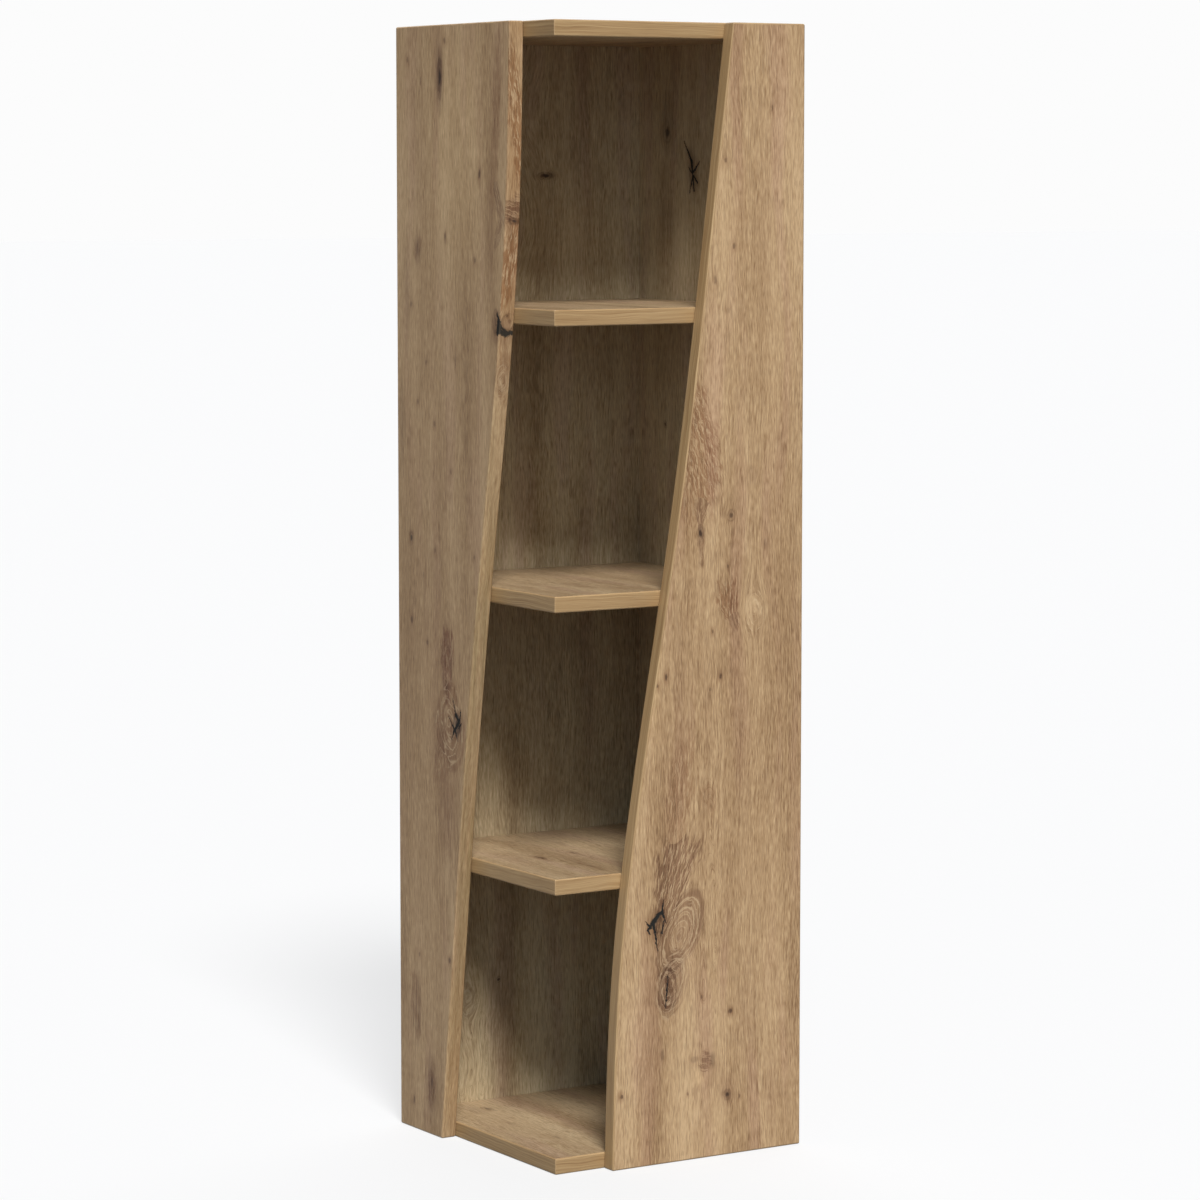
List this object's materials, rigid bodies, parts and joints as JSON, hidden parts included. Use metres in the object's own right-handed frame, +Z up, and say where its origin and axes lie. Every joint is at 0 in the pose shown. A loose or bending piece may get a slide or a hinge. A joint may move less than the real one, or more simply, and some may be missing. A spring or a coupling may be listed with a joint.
{
  "type": "corner shelf cabinet",
  "caption": "Tall open corner shelf cabinet of oak-finish board, with square shelves and two curved front panels, one turned upside down to the other.",
  "frame": {"origin": "middle of the square footprint, on the floor", "axes": "+Z up; +X and +Y towards the two walls of the room's corner, so that the open front corner points to -X -Y"},
  "size_m": [0.348, 0.348, 1.32],
  "materials": {
    "front_panel_oak": "printed oak decor on furniture board, satin, grain upright, dark knots and cracks",
    "back_panel_oak": "printed oak decor on furniture board, satin, grain upright",
    "board_oak": "printed oak decor on furniture board, satin, banded edges with fine lengthwise grain",
    "screw_steel": "bright zinc-plated steel, countersunk head with hexagon socket",
    "cam_zinc": "die-cast zinc, dull grey, cross recess",
    "bolt_steel": "yellow passivated steel",
    "dowel_beech": "bare beech, fluted dowel"
  },
  "bodies": {
    "root": {"left_front_panel": "front_panel_oak", "right_front_panel": "front_panel_oak", "left_back_panel": "back_panel_oak", "right_back_panel": "back_panel_oak", "bottom_board": "board_oak", "lower_shelf": "board_oak", "middle_shelf": "board_oak", "upper_shelf": "board_oak", "top_board": "board_oak", "screw_left_bottom_1": "screw_steel", "screw_right_bottom_1": "screw_steel", "screw_left_bottom_2": "screw_steel", "screw_right_bottom_2": "screw_steel", "screw_left_lower_1": "screw_steel", "screw_right_lower_1": "screw_steel", "screw_left_lower_2": "screw_steel", "screw_right_lower_2": "screw_steel", "screw_left_middle_1": "screw_steel", "screw_right_middle_1": "screw_steel", "screw_left_middle_2": "screw_steel", "screw_right_middle_2": "screw_steel", "screw_left_upper_1": "screw_steel", "screw_right_upper_1": "screw_steel", "screw_left_upper_2": "screw_steel", "screw_right_upper_2": "screw_steel", "screw_left_top_1": "screw_steel", "screw_right_top_1": "screw_steel", "screw_left_top_2": "screw_steel", "screw_right_top_2": "screw_steel", "screw_corner_1": "screw_steel", "screw_corner_2": "screw_steel", "screw_corner_3": "screw_steel", "screw_corner_4": "screw_steel", "cam_bolt_left_bottom": "bolt_steel", "cam_left_bottom": "cam_zinc", "cam_bolt_right_bottom": "bolt_steel", "cam_right_bottom": "cam_zinc", "cam_bolt_left_lower": "bolt_steel", "cam_left_lower": "cam_zinc", "cam_bolt_right_lower": "bolt_steel", "cam_right_lower": "cam_zinc", "cam_bolt_left_middle": "bolt_steel", "cam_left_middle": "cam_zinc", "cam_bolt_right_middle": "bolt_steel", "cam_right_middle": "cam_zinc", "cam_bolt_left_upper": "bolt_steel", "cam_left_upper": "cam_zinc", "cam_bolt_right_upper": "bolt_steel", "cam_right_upper": "cam_zinc", "cam_bolt_left_top": "bolt_steel", "cam_left_top": "cam_zinc", "cam_bolt_right_top": "bolt_steel", "cam_right_top": "cam_zinc", "dowel_left_middle": "dowel_beech", "dowel_left_upper": "dowel_beech", "dowel_left_top": "dowel_beech", "dowel_right_bottom": "dowel_beech", "dowel_right_lower": "dowel_beech", "dowel_right_middle": "dowel_beech"}
  },
  "joints": []
}
